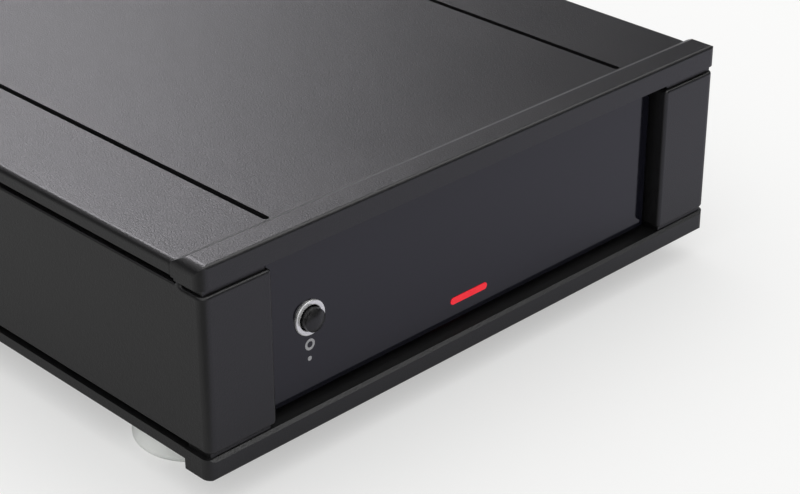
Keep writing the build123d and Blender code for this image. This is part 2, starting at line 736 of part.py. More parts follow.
# Feet: a dark core screwed to the base, in a translucent boot that stands on the floor
boot_height = 8.0
boot_floor = 3.0
boot_neck = 17.2
boot_band = 1.8
boot_corner = 1.2
core_taper = (1.5, 3.0)
foot_screw_radius = 1.95
foot_head_radius = 3.8
foot_head = (boot_floor + 1.5, boot_floor + 4.0)
foot_places = {
    "front_left": (-foot_x, foot_front_y),
    "front_right": (foot_x, foot_front_y),
    "rear_left": (-foot_x, foot_rear_y),
    "rear_right": (foot_x, foot_rear_y),
}
for name, (x, y) in foot_places.items():
    foot_plane = Plane((x, y, 0), x_dir=(1, 0, 0), z_dir=(0, -1, 0))
    with BuildPart() as foot_boot:
        with BuildSketch(foot_plane) as boot_profile:
            with BuildLine():
                Polyline(
                    (0, 0),
                    (0, boot_floor),
                    (core_radius, boot_floor),
                    (core_radius, boot_height),
                    (boot_neck, boot_height),
                    (boot_radius, boot_band),
                    (boot_radius, 0),
                    close=True,
                )
            make_face()
            fillet(boot_profile.vertices().sort_by(lambda v: v.X - v.Y)[-1], boot_corner)
        revolve(axis=Axis((x, y, 0), (0, 0, 1)))
    save(foot_boot, f"foot_boot_{name}")
    with BuildPart() as foot_core:
        with BuildSketch(foot_plane):
            with BuildLine():
                Polyline(
                    (0, boot_floor),
                    (core_radius, boot_floor),
                    (core_radius, base_low - core_taper[1]),
                    (core_radius - core_taper[0], base_low),
                    (0, base_low),
                    close=True,
                )
            make_face()
        revolve(axis=Axis((x, y, 0), (0, 0, 1)))
        post((x, y), foot_head_radius + 0.4, (boot_floor, foot_head[1]), Mode.SUBTRACT)
        post((x, y), foot_screw_radius + 0.15, (boot_floor, base_low), Mode.SUBTRACT)
    save(foot_core, f"foot_core_{name}")

with BuildPart() as base_screws:
    for x, y in foot_places.values():
        post((x, y), foot_head_radius, foot_head)
        post((x, y), foot_screw_radius, (foot_head[1], base_top))
    for x in (-case_screw_x, case_screw_x):
        for y in case_screw_y:
            post((x, y), screw_radius, (base_low + 0.5, cover_low + screw_bite))
            with Locations((x, y, base_low + sink_depth / 2)):
                Cone(sink_radius - 0.1, screw_radius, sink_depth - 0.05)
            with BuildSketch(Plane.XY.offset(base_low)):
                with Locations((x, y)):
                    RegularPolygon(hex_key, 6)
            extrude(amount=hex_depth, mode=Mode.SUBTRACT)
save(base_screws, "base_screws")


# Circuit board on its standoffs
standoff_x = (board_x[0] + 5.0, board_x[1] - 5.0)
standoff_y = (board_y[0] + 6.0, 50.0, board_y[1] - 8.0)
with BuildPart() as main_board:
    block(board_x, board_y, (board_low, board_top))
save(main_board, "main_board")

with BuildPart() as board_standoffs:
    with BuildSketch(Plane.XY.offset(base_top)):
        with Locations(*[(x, y) for x in standoff_x for y in standoff_y]):
            RegularPolygon(3.4, 6)
    extrude(amount=board_low - base_top)
save(board_standoffs, "board_standoffs")


# Mains transformer: a wound ring between two pads, held by a dished washer and a bolt
ring_low = base_top + 1.5
ring_high = 52.5
ring_radius = 43.0
ring_hole = 12.0
pad_radius = 33.0
pad_high = ring_high + 1.5
clamp_radius = 26.0
clamp_high = pad_high + 2.0
bolt_radius = 3.0
transformer_axis = (transformer_x, transformer_y)
with BuildPart() as mains_transformer:
    with BuildSketch(Plane((transformer_x, transformer_y, 0), x_dir=(1, 0, 0), z_dir=(0, -1, 0))):
        with Locations(((ring_radius + ring_hole) / 2, (ring_low + ring_high) / 2)):
            RectangleRounded(ring_radius - ring_hole, ring_high - ring_low, 8.0)
    revolve(axis=Axis((transformer_x, transformer_y, 0), (0, 0, 1)))
save(mains_transformer, "mains_transformer")

with BuildPart() as transformer_pads:
    for z in ((base_top, ring_low), (ring_high, pad_high)):
        post(transformer_axis, pad_radius, z)
    post(transformer_axis, bolt_radius + 0.3, (base_top, pad_high), Mode.SUBTRACT)
save(transformer_pads, "transformer_pads")

with BuildPart() as transformer_clamp:
    post(transformer_axis, clamp_radius, (pad_high, clamp_high))
    post(transformer_axis, bolt_radius, (base_top, clamp_high))
    with BuildSketch(Plane.XY.offset(clamp_high)):
        with Locations(transformer_axis):
            RegularPolygon(5.8, 6)
    extrude(amount=4.5)
save(transformer_clamp, "transformer_clamp")


# Parts on the board
reservoir_size = (9.0, 30.0)
with BuildPart() as reservoir_capacitors:
    for x in (-36.0, -14.0, 8.0, 30.0):
        post((x, -20.0), reservoir_size[0], (board_top, board_top + reservoir_size[1]))
    fillet(reservoir_capacitors.faces().filter_by(Axis.Z).group_by(Axis.Z)[-1].edges(), 1.0)
save(reservoir_capacitors, "reservoir_capacitors")

sink_places = [(-32.0, 12.0), (20.0, 12.0)]
sink_width = 42.0
sink_height = 28.0
sink_back = 4.0
fin_count = 9
fin_thickness = 1.6
fin_depth = 12.0
with BuildPart() as heat_sinks:
    for x, y in sink_places:
        sink_z = (board_top, board_top + sink_height)
        block((x - sink_width / 2, x + sink_width / 2), (y, y + sink_back), sink_z)
        for k in range(fin_count):
            fin_x = x - sink_width / 2 + k * (sink_width - fin_thickness) / (fin_count - 1)
            block((fin_x, fin_x + fin_thickness), (y + sink_back, y + sink_back + fin_depth), sink_z)
save(heat_sinks, "heat_sinks")

regulator_half = 5.0
regulator_z = (board_top + 6.0, board_top + 15.0, board_top + 21.0)
leg_pitch = 2.54
leg_half = 0.35
with BuildPart() as regulators:
    for x, y in sink_places:
        for middle in (x - 2 * regulator_half, x + 2 * regulator_half):
            regulator_x = (middle - regulator_half, middle + regulator_half)
            block(regulator_x, (y - 4.5, y), regulator_z[:2])
            block(regulator_x, (y - 1.3, y), regulator_z[1:])
            for leg in (middle - leg_pitch, middle, middle + leg_pitch):
                block((leg - leg_half, leg + leg_half), (y - 2.6, y - 2.0), (board_top, regulator_z[0]))
save(regulators, "regulators")

signal_size = (18.0, 7.0, 11.0)
with BuildPart() as signal_capacitors:
    for x in (-30.0, 0.0, 30.0, 60.0):
        for y in (60.0, 82.0):
            with Locations((x, y, board_top + signal_size[2] / 2)):
                Box(*signal_size)
    fillet(signal_capacitors.edges().filter_by(Axis.Z), 0.8)
save(signal_capacitors, "signal_capacitors")

chip_size = (9.6, 6.4, 3.6)
with BuildPart() as amplifier_chips:
    for x in (-15.0, 15.0, 45.0, 75.0):
        for y in (71.0, 98.0):
            with Locations((x, y, board_top + chip_size[2] / 2)):
                Box(*chip_size)
save(amplifier_chips, "amplifier_chips")


# Leads: live and neutral from the inlet to the switch, each corner rounded as far as its runs allow
lead_radius = 1.2
lead_end = switch_y[1] + terminal_size[1]


def corner_radii(route):
    points = [Vector(*point) for point in route]
    radii = []
    for before, here, after in zip(points, points[1:], points[2:]):
        half_turn = radians((here - before).get_angle(after - here)) / 2
        shorter_run = min((here - before).length, (after - here).length)
        radii.append(0.45 * shorter_run / tan(half_turn))
    return radii


mains_routes = [
    [
        (inlet_x - 7.0, pin_back, recess_z - 2.0),
        (inlet_x - 7.0, 100.0, recess_z - 2.0),
        (inlet_x - 9.0, 86.0, 38.0),
        (-84.0, 64.0, 23.0),
        (-86.0, 20.0, 21.0),
        (-84.0, -35.0, 22.0),
        (-80.0, -72.0, 34.0),
        (button_x - terminal_x, -82.0, button_z),
        (button_x - terminal_x, lead_end, button_z),
    ],
    [
        (inlet_x + 7.0, pin_back, recess_z - 2.0),
        (inlet_x + 7.0, 99.0, recess_z - 2.0),
        (inlet_x + 5.0, 84.0, 37.0),
        (-66.0, 62.0, 23.0),
        (-62.0, 18.0, 21.0),
        (-64.0, -36.0, 22.0),
        (-60.5, -68.0, 36.0),
        (button_x + terminal_x, -81.0, button_z),
        (button_x + terminal_x, lead_end, button_z),
    ],
]
with BuildPart() as mains_leads:
    for route in mains_routes:
        with BuildLine() as lead_path:
            FilletPolyline(*route, radius=corner_radii(route))
        with BuildSketch(Plane(origin=lead_path.line @ 0, z_dir=lead_path.line % 0)):
            Circle(lead_radius)
        sweep(path=lead_path.line)
save(mains_leads, "mains_leads")
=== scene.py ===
import json
import math

import bmesh
import bpy
from mathutils import Matrix, Vector


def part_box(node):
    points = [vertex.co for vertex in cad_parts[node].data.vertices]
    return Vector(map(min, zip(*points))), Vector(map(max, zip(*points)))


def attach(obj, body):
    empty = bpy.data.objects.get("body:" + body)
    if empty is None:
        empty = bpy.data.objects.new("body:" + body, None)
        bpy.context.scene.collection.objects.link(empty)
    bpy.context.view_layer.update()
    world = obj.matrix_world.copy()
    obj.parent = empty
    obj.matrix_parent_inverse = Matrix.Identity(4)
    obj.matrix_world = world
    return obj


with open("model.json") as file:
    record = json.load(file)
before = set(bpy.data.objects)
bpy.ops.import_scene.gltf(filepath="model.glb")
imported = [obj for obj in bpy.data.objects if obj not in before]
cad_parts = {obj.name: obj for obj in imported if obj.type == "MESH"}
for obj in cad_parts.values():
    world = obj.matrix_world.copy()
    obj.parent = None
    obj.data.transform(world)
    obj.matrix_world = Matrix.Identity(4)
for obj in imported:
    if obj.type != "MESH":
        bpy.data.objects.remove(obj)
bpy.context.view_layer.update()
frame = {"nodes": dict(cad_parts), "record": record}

# A half-width phono preamplifier. Metres, +X right seen from the front, +Y to the rear, +Z up.
nodes = frame["nodes"]
millimetre = 0.001
print("frame loaded:", len(nodes), "nodes")

camera = {
    "place": (-0.40030, -0.53307, 0.33590),
    "turn": 44.345,  # degrees from +Y towards +X
    "tilt": 28.154,  # degrees below the horizon
    "roll": -0.121,
    "lens": 92.738,
    "sensor": 36.0,
    "clip": (0.01, 100.0),
}


def makeCamera(settings):
    turn, tilt, roll = (math.radians(settings[key]) for key in ("turn", "tilt", "roll"))
    level = Vector((math.sin(turn), math.cos(turn), 0))
    ahead = level * math.cos(tilt) - Vector((0, 0, math.sin(tilt)))
    levelRight = Vector((math.cos(turn), -math.sin(turn), 0))
    levelUp = levelRight.cross(ahead)
    right = levelRight * math.cos(roll) + levelUp * math.sin(roll)
    up = levelUp * math.cos(roll) - levelRight * math.sin(roll)
    data = bpy.data.cameras.new("mainCamera")
    data.lens = settings["lens"]
    data.sensor_width = settings["sensor"]
    data.clip_start, data.clip_end = settings["clip"]
    viewer = bpy.data.objects.new("mainCamera", data)
    bpy.context.scene.collection.objects.link(viewer)
    axes = Matrix((right, up, -ahead)).transposed().to_4x4()
    viewer.matrix_world = Matrix.Translation(settings["place"]) @ axes
    bpy.context.scene.camera = viewer


fillBox = {"place": (0.0, 0.0, 3.2), "size": 6.0, "radiance": 0.12}


def makeFillBox(settings):
    # a wide soft box straight above, which lights the floor evenly and makes no highlight
    data = bpy.data.lights.new("fillBox", "AREA")
    data.shape = "SQUARE"
    data.size = settings["size"]
    data.energy = settings["radiance"] * math.pi * data.size ** 2
    lamp = bpy.data.objects.new("fillBox", data)
    bpy.context.scene.collection.objects.link(lamp)
    lamp.location = settings["place"]
    lamp.visible_glossy = False


# Matt surfaces see an even pale dome. Glossy ones mirror soft bright walls in a dark room with a
# pale ceiling. Angles are degrees, turned from +Y towards +X or raised from level, and each pair
# is where a soft edge starts and ends.
room = {
    "domeLow": (0.70, 0.70, 0.70),
    "domeHigh": (1.20, 1.20, 1.20),
    "domeRise": (20.0, 60.0),
    "backdropColour": (0.91, 0.91, 0.90),
    "darkColour": (0.06, 0.061, 0.065),
    "ceilingColour": (1.30, 1.28, 1.32),
    "ceilingRise": (30.0, 52.0),
    "walls": [
        {  # low wall behind, for the bright line along the back of the front rail
            "colour": (1.7, 1.7, 1.75),
            "left": (10.0, 24.0),
            "right": (38.0, 50.0),
            "foot": (0.0, 4.0),
            "top": (9.0, 17.0),
        },
        {  # bright wall behind, mirrored by the top plate
            "colour": (11.2, 10.85, 11.5),
            "left": (16.0, 28.0),
            "right": (34.0, 41.0),
            "foot": (24.0, 38.0),
            "top": (50.0, 66.0),
        },
        {  # high wall in front on the right, for the upper edges
            "colour": (2.4, 2.4, 2.4),
            "left": (80.0, 95.0),
            "right": (165.0, 179.0),
            "foot": (32.0, 44.0),
            "top": (64.0, 80.0),
        },
        {  # wall in front on the left, for the bezel
            "colour": (1.3, 1.3, 1.3),
            "left": (-175.0, -165.0),
            "right": (-115.0, -105.0),
            "foot": (4.0, 12.0),
            "top": (50.0, 65.0),
        },
    ],
}
floorLook = {
    "size": 30.0,
    "colour": (0.91, 0.91, 0.90),
    "seenColour": (0.50, 0.50, 0.496),
    "seenGlow": (0.44, 0.44, 0.437),  # keeps the shadow under the case light
    "frontReflectionShade": (0.62, 0.61, 0.70),  # painted shade: the floor as the front faces mirror it, darker and bluer than its own colour
    "cornerReflectionShade": (0.25, 0.25, 0.25),  # painted shade: the floor as the upright front left corner mirrors it, darkest of all
    # painted shade: the floor beside and behind the case as its sides mirror it, darker than its
    # own colour
    "behindReflectionShade": (0.44, 0.44, 0.44),
    "frontEdge": (-0.19, -0.16),  # metres along Y
    "cornerEdge": (-0.145, -0.115),  # metres along X
}


def smoothStep(tree, value, limits):
    node = tree.nodes.new("ShaderNodeMapRange")
    node.interpolation_type = "SMOOTHSTEP"
    tree.links.new(value, node.inputs["Value"])
    node.inputs["From Min"].default_value, node.inputs["From Max"].default_value = limits
    return node.outputs["Result"]


def mathNode(tree, operation, *values):
    node = tree.nodes.new("ShaderNodeMath")
    node.operation = operation
    for socket, value in zip(node.inputs, values):
        if isinstance(value, (int, float)):
            socket.default_value = value
        else:
            tree.links.new(value, socket)
    return node.outputs[0]


def mixColour(tree, factor, first, second):
    node = tree.nodes.new("ShaderNodeMix")
    node.data_type = "RGBA"
    tree.links.new(factor, node.inputs["Factor"])
    for socket, value in ((node.inputs["A"], first), (node.inputs["B"], second)):
        if isinstance(value, tuple):
            socket.default_value = (*value, 1)
        else:
            tree.links.new(value, socket)
    return node.outputs["Result"]


def splitPlace(tree, place):
    node = tree.nodes.new("ShaderNodeSeparateXYZ")
    tree.links.new(place, node.inputs[0])
    return node.outputs


def wallMask(tree, wall, turn, rise):
    # 1 inside the wall, falling softly to 0 past its edges
    left = smoothStep(tree, turn, wall["left"])
    mask = mathNode(tree, "MULTIPLY", left, smoothStep(tree, rise, wall["foot"]))
    for value, limits in ((turn, wall["right"]), (rise, wall["top"])):
        inside = mathNode(tree, "SUBTRACT", 1.0, smoothStep(tree, value, limits))
        mask = mathNode(tree, "MULTIPLY", mask, inside)
    return mask


def makeRoom(settings):
    world = bpy.data.worlds.new("studio")
    bpy.context.scene.world = world
    world.use_nodes = True
    tree = world.node_tree
    tree.nodes.clear()
    aim = splitPlace(tree, tree.nodes.new("ShaderNodeTexCoord").outputs["Generated"])
    rise = mathNode(tree, "DEGREES", mathNode(tree, "ARCSINE", aim["Z"]))
    turn = mathNode(tree, "DEGREES", mathNode(tree, "ARCTAN2", aim["X"], aim["Y"]))
    ceiling = smoothStep(tree, rise, settings["ceilingRise"])
    mirrored = mixColour(tree, ceiling, settings["darkColour"], settings["ceilingColour"])
    for wall in settings["walls"]:
        mirrored = mixColour(tree, wallMask(tree, wall, turn, rise), mirrored, wall["colour"])
    domeHeight = smoothStep(tree, rise, settings["domeRise"])
    dome = mixColour(tree, domeHeight, settings["domeLow"], settings["domeHigh"])
    path = tree.nodes.new("ShaderNodeLightPath").outputs
    light = mixColour(tree, path["Is Glossy Ray"], dome, mirrored)
    light = mixColour(tree, path["Is Camera Ray"], light, settings["backdropColour"])
    back = tree.nodes.new("ShaderNodeBackground")
    out = tree.nodes.new("ShaderNodeOutputWorld")
    tree.links.new(light, back.inputs["Color"])
    tree.links.new(back.outputs[0], out.inputs["Surface"])
    world.cycles.sampling_method = "NONE"  # a sampled world gives every ray the same light


def makeFloor(settings):
    half = settings["size"] / 2
    corners = [(-half, -half, 0), (half, -half, 0), (half, half, 0), (-half, half, 0)]
    mesh = bpy.data.meshes.new("studioFloor")
    mesh.from_pydata(corners, [], [(0, 1, 2, 3)])
    floor = bpy.data.objects.new("studioFloor", mesh)
    bpy.context.scene.collection.objects.link(floor)
    material = bpy.data.materials.new("studioFloor")
    material.use_nodes = True
    tree = material.node_tree
    path = tree.nodes.new("ShaderNodeLightPath").outputs
    place = splitPlace(tree, tree.nodes.new("ShaderNodeTexCoord").outputs["Object"])
    # painted shade: glossy rays see the floor darker than its own colour, darkest by the front
    # left corner, so the case mirrors a shaded floor
    pastCorner = smoothStep(tree, place["X"], settings["cornerEdge"])
    mirrored = mixColour(tree, pastCorner, settings["cornerReflectionShade"], settings["frontReflectionShade"])
    behind = smoothStep(tree, place["Y"], settings["frontEdge"])
    mirrored = mixColour(tree, behind, mirrored, settings["behindReflectionShade"])
    colour = mixColour(tree, path["Is Glossy Ray"], settings["colour"], mirrored)
    colour = mixColour(tree, path["Is Camera Ray"], colour, settings["seenColour"])
    glow = mixColour(tree, path["Is Camera Ray"], (0.0, 0.0, 0.0), settings["seenGlow"])
    shader = tree.nodes["Principled BSDF"]
    tree.links.new(colour, shader.inputs["Base Color"])
    tree.links.new(glow, shader.inputs["Emission Color"])
    shader.inputs["Emission Strength"].default_value = 1.0
    shader.inputs["Roughness"].default_value = 1.0
    shader.inputs["Specular IOR Level"].default_value = 0.0
    mesh.materials.append(material)


makeCamera(camera)
makeFillBox(fillBox)
makeRoom(room)
makeFloor(floorLook)
bpy.context.scene.view_settings.view_transform = "Standard"
print("camera, light and floor made")


# Shader groups that several finishes share. Each takes two tones, two roughnesses and its own
# sizes in metres, and gives a colour, a roughness and a height.
def startGroup(name, sizes):
    group = bpy.data.node_groups.new(name, "ShaderNodeTree")
    tones = [("Light Tone", "NodeSocketColor"), ("Dark Tone", "NodeSocketColor")]
    roughnesses = [("Smooth", "NodeSocketFloat"), ("Rough", "NodeSocketFloat")]
    for label, kind in tones + sizes + roughnesses:
        group.interface.new_socket(name=label, in_out="INPUT", socket_type=kind)
    group.interface.new_socket(name="Color", in_out="OUTPUT", socket_type="NodeSocketColor")
    group.interface.new_socket(name="Roughness", in_out="OUTPUT", socket_type="NodeSocketFloat")
    group.interface.new_socket(name="Height", in_out="OUTPUT", socket_type="NodeSocketFloat")
    return group, group.nodes.new("NodeGroupInput").outputs


def endGroup(group, given, tone, haze, height):
    leave = group.nodes.new("NodeGroupOutput").inputs
    colour = mixColour(group, tone, given["Dark Tone"], given["Light Tone"])
    span = mathNode(group, "SUBTRACT", given["Rough"], given["Smooth"])
    roughness = mathNode(group, "MULTIPLY_ADD", haze, span, given["Smooth"])
    group.links.new(colour, leave["Color"])
    group.links.new(roughness, leave["Roughness"])
    group.links.new(height, leave["Height"])
    return group


def objectPlace(tree):
    return tree.nodes.new("ShaderNodeTexCoord").outputs["Object"]


def noiseNode(tree, place, size, detail=2.0, rough=0.5):
    # noise whose cells are about size across, in metres
    scaled = tree.nodes.new("ShaderNodeVectorMath")
    scaled.operation = "SCALE"
    tree.links.new(place, scaled.inputs[0])
    tree.links.new(mathNode(tree, "DIVIDE", 1.0, size), scaled.inputs["Scale"])
    node = tree.nodes.new("ShaderNodeTexNoise")
    node.inputs["Scale"].default_value = 1.0
    node.inputs["Detail"].default_value = detail
    node.inputs["Roughness"].default_value = rough
    tree.links.new(scaled.outputs[0], node.inputs["Vector"])
    return node.outputs["Fac"]


def makeGrainGroup():
    # fine orange-peel grain of sprayed paint and moulded plastic, with a slow mottle in its tone
    sizes = [("Grain Size", "NodeSocketFloat"), ("Mottle Size", "NodeSocketFloat")]
    group, given = startGroup("sprayedGrain", sizes)
    place = objectPlace(group)
    fine = noiseNode(group, place, given["Grain Size"], detail=3.0, rough=0.6)
    slow = noiseNode(group, place, given["Mottle Size"])
    fineShare = 0.6
    slowPart = mathNode(group, "MULTIPLY", slow, 1 - fineShare)
    tone = mathNode(group, "MULTIPLY_ADD", fine, fineShare, slowPart)
    return endGroup(group, given, tone, slow, fine)


def makeTurnedGroup():
    # fine rings round a turned or drawn metal part, about a line along Y through Centre
    sizes = [("Centre", "NodeSocketVector"), ("Ring Pitch", "NodeSocketFloat")]
    group, given = startGroup("turnedRings", sizes)
    place = objectPlace(group)
    shift = group.nodes.new("ShaderNodeVectorMath")
    shift.operation = "SUBTRACT"
    group.links.new(place, shift.inputs[0])
    group.links.new(given["Centre"], shift.inputs[1])
    offset = splitPlace(group, shift.outputs[0])
    square = mathNode(group, "MULTIPLY", offset["X"], offset["X"])
    square = mathNode(group, "MULTIPLY_ADD", offset["Z"], offset["Z"], square)
    turned = group.nodes.new("ShaderNodeCombineXYZ")
    group.links.new(mathNode(group, "SQRT", square), turned.inputs["X"])
    group.links.new(offset["Y"], turned.inputs["Y"])
    rings = noiseNode(group, turned.outputs[0], given["Ring Pitch"], detail=1.0)
    smudgeSize = 1 / 220
    smudge = noiseNode(group, place, smudgeSize, detail=3.0)
    return endGroup(group, given, rings, smudge, rings)


def makeGlossGroup():
    # a smooth moulded or polished skin: a faint slow wave, and hazy patches left by handling
    sizes = [("Wave Size", "NodeSocketFloat"), ("Haze Size", "NodeSocketFloat")]
    group, given = startGroup("polishedSkin", sizes)
    place = objectPlace(group)
    wave = noiseNode(group, place, given["Wave Size"], detail=1.0)
    haze = noiseNode(group, place, given["Haze Size"], detail=4.0, rough=0.65)
    return endGroup(group, given, wave, haze, wave)


sprayedGrain = makeGrainGroup()
turnedRings = makeTurnedGroup()
polishedSkin = makeGlossGroup()
print("shader groups made")


def makeFinish(name, group, settings):
    material = bpy.data.materials.new(name)
    material.use_nodes = True
    tree = material.node_tree
    shader = tree.nodes["Principled BSDF"]
    effect = tree.nodes.new("ShaderNodeGroup")
    effect.node_tree = group
    for label, value in settings["effect"].items():
        effect.inputs[label].default_value = (*value, 1) if "Tone" in label else value
    for label, value in settings.get("shader", {}).items():
        shader.inputs[label].default_value = value
    tree.links.new(effect.outputs["Color"], shader.inputs["Base Color"])
    tree.links.new(effect.outputs["Roughness"], shader.inputs["Roughness"])
    plainDepth = 0.00005  # metres
    bump = tree.nodes.new("ShaderNodeBump")
    bump.inputs["Strength"].default_value = settings["bump"]
    bump.inputs["Distance"].default_value = settings.get("bumpDepth", plainDepth)
    tree.links.new(effect.outputs["Height"], bump.inputs["Height"])
    tree.links.new(bump.outputs["Normal"], shader.inputs["Normal"])
    return material


casePaint = {
    "effect": {
        "Light Tone": (0.011, 0.0108, 0.011),
        "Dark Tone": (0.005, 0.005, 0.0053),
        "Grain Size": 0.00055,
        "Mottle Size": 0.03,
        "Smooth": 0.28,
        "Rough": 0.34,
    },
    "bump": 0.7,
    "bumpDepth": 0.00013,
}
fasciaGloss = {
    "effect": {
        "Light Tone": (0.0035, 0.0035, 0.0070),
        "Dark Tone": (0.0025, 0.0025, 0.0052),
        "Wave Size": 0.05,
        "Haze Size": 0.02,
        "Smooth": 0.06,
        "Rough": 0.11,
    },
    "bump": 0.02,
    "bumpDepth": 0.0002,
}
innerBlack = {
    "effect": {
        "Light Tone": (0.006, 0.006, 0.006),
        "Dark Tone": (0.003, 0.003, 0.003),
        "Grain Size": 0.0008,
        "Mottle Size": 0.02,
        "Smooth": 0.65,
        "Rough": 0.8,
    },
    "shader": {"Specular IOR Level": 0.2},
    "bump": 0.15,
}
buttonBlack = {
    "effect": {
        "Light Tone": (0.010, 0.010, 0.0095),
        "Dark Tone": (0.006, 0.006, 0.006),
        "Grain Size": 0.0004,
        "Mottle Size": 0.004,
        "Smooth": 0.28,
        "Rough": 0.36,
    },
    "bump": 0.08,
}
blackMoulding = {
    "effect": {
        "Light Tone": (0.016, 0.016, 0.016),
        "Dark Tone": (0.009, 0.009, 0.009),
        "Grain Size": 0.00035,
        "Mottle Size": 0.008,
        "Smooth": 0.42,
        "Rough": 0.55,
    },
    "bump": 0.25,
}
whiteMoulding = {
    "effect": {
        "Light Tone": (0.78, 0.78, 0.75),
        "Dark Tone": (0.70, 0.70, 0.67),
        "Grain Size": 0.0004,
        "Mottle Size": 0.006,
        "Smooth": 0.35,
        "Rough": 0.45,
    },
    "bump": 0.1,
}
redMoulding = {
    "effect": {
        "Light Tone": (0.50, 0.012, 0.010),
        "Dark Tone": (0.38, 0.008, 0.008),
        "Grain Size": 0.0004,
        "Mottle Size": 0.006,
        "Smooth": 0.28,
        "Rough": 0.38,
    },
    "bump": 0.08,
}
blueMoulding = {
    "effect": {
        "Light Tone": (0.020, 0.11, 0.42),
        "Dark Tone": (0.014, 0.08, 0.34),
        "Grain Size": 0.0004,
        "Mottle Size": 0.006,
        "Smooth": 0.3,
        "Rough": 0.4,
    },
    "bump": 0.08,
}
footShell = {
    "effect": {
        "Light Tone": (0.93, 0.95, 0.92),
        "Dark Tone": (0.87, 0.90, 0.86),
        "Wave Size": 0.006,
        "Haze Size": 0.004,
        "Smooth": 0.28,
        "Rough": 0.4,
    },
    "shader": {
        "Subsurface Weight": 0.35,
        "Subsurface Radius": (0.004, 0.004, 0.0038),
        "Subsurface Scale": 1.0,
    },
    "bump": 0.05,
}
footRubber = {
    "effect": {
        "Light Tone": (0.018, 0.018, 0.018),
        "Dark Tone": (0.012, 0.012, 0.012),
        "Grain Size": 0.0005,
        "Mottle Size": 0.006,
        "Smooth": 0.6,
        "Rough": 0.75,
    },
    "bump": 0.2,
}
brightPlate = {
    "effect": {
        "Light Tone": (0.86, 0.86, 0.85),
        "Dark Tone": (0.78, 0.78, 0.78),
        "Centre": (-0.0664, 0.0, 0.0438),  # of the button's bezel
        "Ring Pitch": 0.00012,
        "Smooth": 0.10,
        "Rough": 0.2,
    },
    "shader": {"Metallic": 0.6},
    "bump": 0.05,
}
goldPlate = {
    "effect": {
        "Light Tone": (0.86, 0.62, 0.26),
        "Dark Tone": (0.74, 0.50, 0.18),
        "Centre": (0.090, 0.0, 0.0475),  # of the ground terminal
        "Ring Pitch": 0.00015,
        "Smooth": 0.14,
        "Rough": 0.26,
    },
    "shader": {"Metallic": 1.0},
    "bump": 0.06,
}
zincSteel = {
    "effect": {
        "Light Tone": (0.62, 0.62, 0.60),
        "Dark Tone": (0.48, 0.48, 0.47),
        "Grain Size": 0.0006,
        "Mottle Size": 0.003,
        "Smooth": 0.25,
        "Rough": 0.42,
    },
    "shader": {"Metallic": 1.0},
    "bump": 0.1,
}
blackSteel = {
    "effect": {
        "Light Tone": (0.030, 0.030, 0.031),
        "Dark Tone": (0.018, 0.018, 0.019),
        "Grain Size": 0.0003,
        "Mottle Size": 0.003,
        "Smooth": 0.3,
        "Rough": 0.45,
    },
    "shader": {"Metallic": 0.6},
    "bump": 0.1,
}
windingFilm = {
    "effect": {
        "Light Tone": (0.62, 0.46, 0.10),
        "Dark Tone": (0.48, 0.33, 0.05),
        "Wave Size": 0.004,
        "Haze Size": 0.003,
        "Smooth": 0.2,
        "Rough": 0.35,
    },
    "bump": 0.3,
    "bumpDepth": 0.0004,
}
boardMask = {
    "effect": {
        "Light Tone": (0.012, 0.13, 0.045),
        "Dark Tone": (0.007, 0.085, 0.028),
        "Wave Size": 0.003,
        "Haze Size": 0.01,
        "Smooth": 0.2,
        "Rough": 0.32,
    },
    "bump": 0.2,
    "bumpDepth": 0.0001,
}
sleeveFilm = {
    "effect": {
        "Light Tone": (0.016, 0.020, 0.085),
        "Dark Tone": (0.011, 0.014, 0.065),
        "Wave Size": 0.006,
        "Haze Size": 0.004,
        "Smooth": 0.15,
        "Rough": 0.28,
    },
    "bump": 0.06,
}
dippedFilm = {
    "effect": {
        "Light Tone": (0.48, 0.055, 0.022),
        "Dark Tone": (0.38, 0.04, 0.016),
        "Wave Size": 0.004,
        "Haze Size": 0.003,
        "Smooth": 0.18,
        "Rough": 0.3,
    },
    "bump": 0.1,
}
blackAluminium = {
    "effect": {
        "Light Tone": (0.035, 0.035, 0.037),
        "Dark Tone": (0.022, 0.022, 0.023),
        "Grain Size": 0.0004,
        "Mottle Size": 0.006,
        "Smooth": 0.4,
        "Rough": 0.52,
    },
    "shader": {"Metallic": 0.5},
    "bump": 0.12,
}
clearGlass = {
    "effect": {
        "Light Tone": (0.90, 0.93, 0.93),
        "Dark Tone": (0.86, 0.90, 0.90),
        "Wave Size": 0.004,
        "Haze Size": 0.003,
        "Smooth": 0.05,
        "Rough": 0.1,
    },
    "bump": 0.02,
}
leadSkin = {
    "effect": {
        "Light Tone": (0.20, 0.085, 0.03),
        "Dark Tone": (0.15, 0.06, 0.02),
        "Grain Size": 0.0006,
        "Mottle Size": 0.006,
        "Smooth": 0.35,
        "Rough": 0.48,
    },
    "bump": 0.1,
}
redLight = {
    "effect": {
        "Light Tone": (0.78, 0.012, 0.020),
        "Dark Tone": (0.60, 0.008, 0.014),
        "Wave Size": 0.003,
        "Haze Size": 0.002,
        "Smooth": 0.15,
        "Rough": 0.25,
    },
    "shader": {"Emission Color": (1.0, 0.012, 0.03, 1), "Emission Strength": 0.3},
    "bump": 0.05,
}

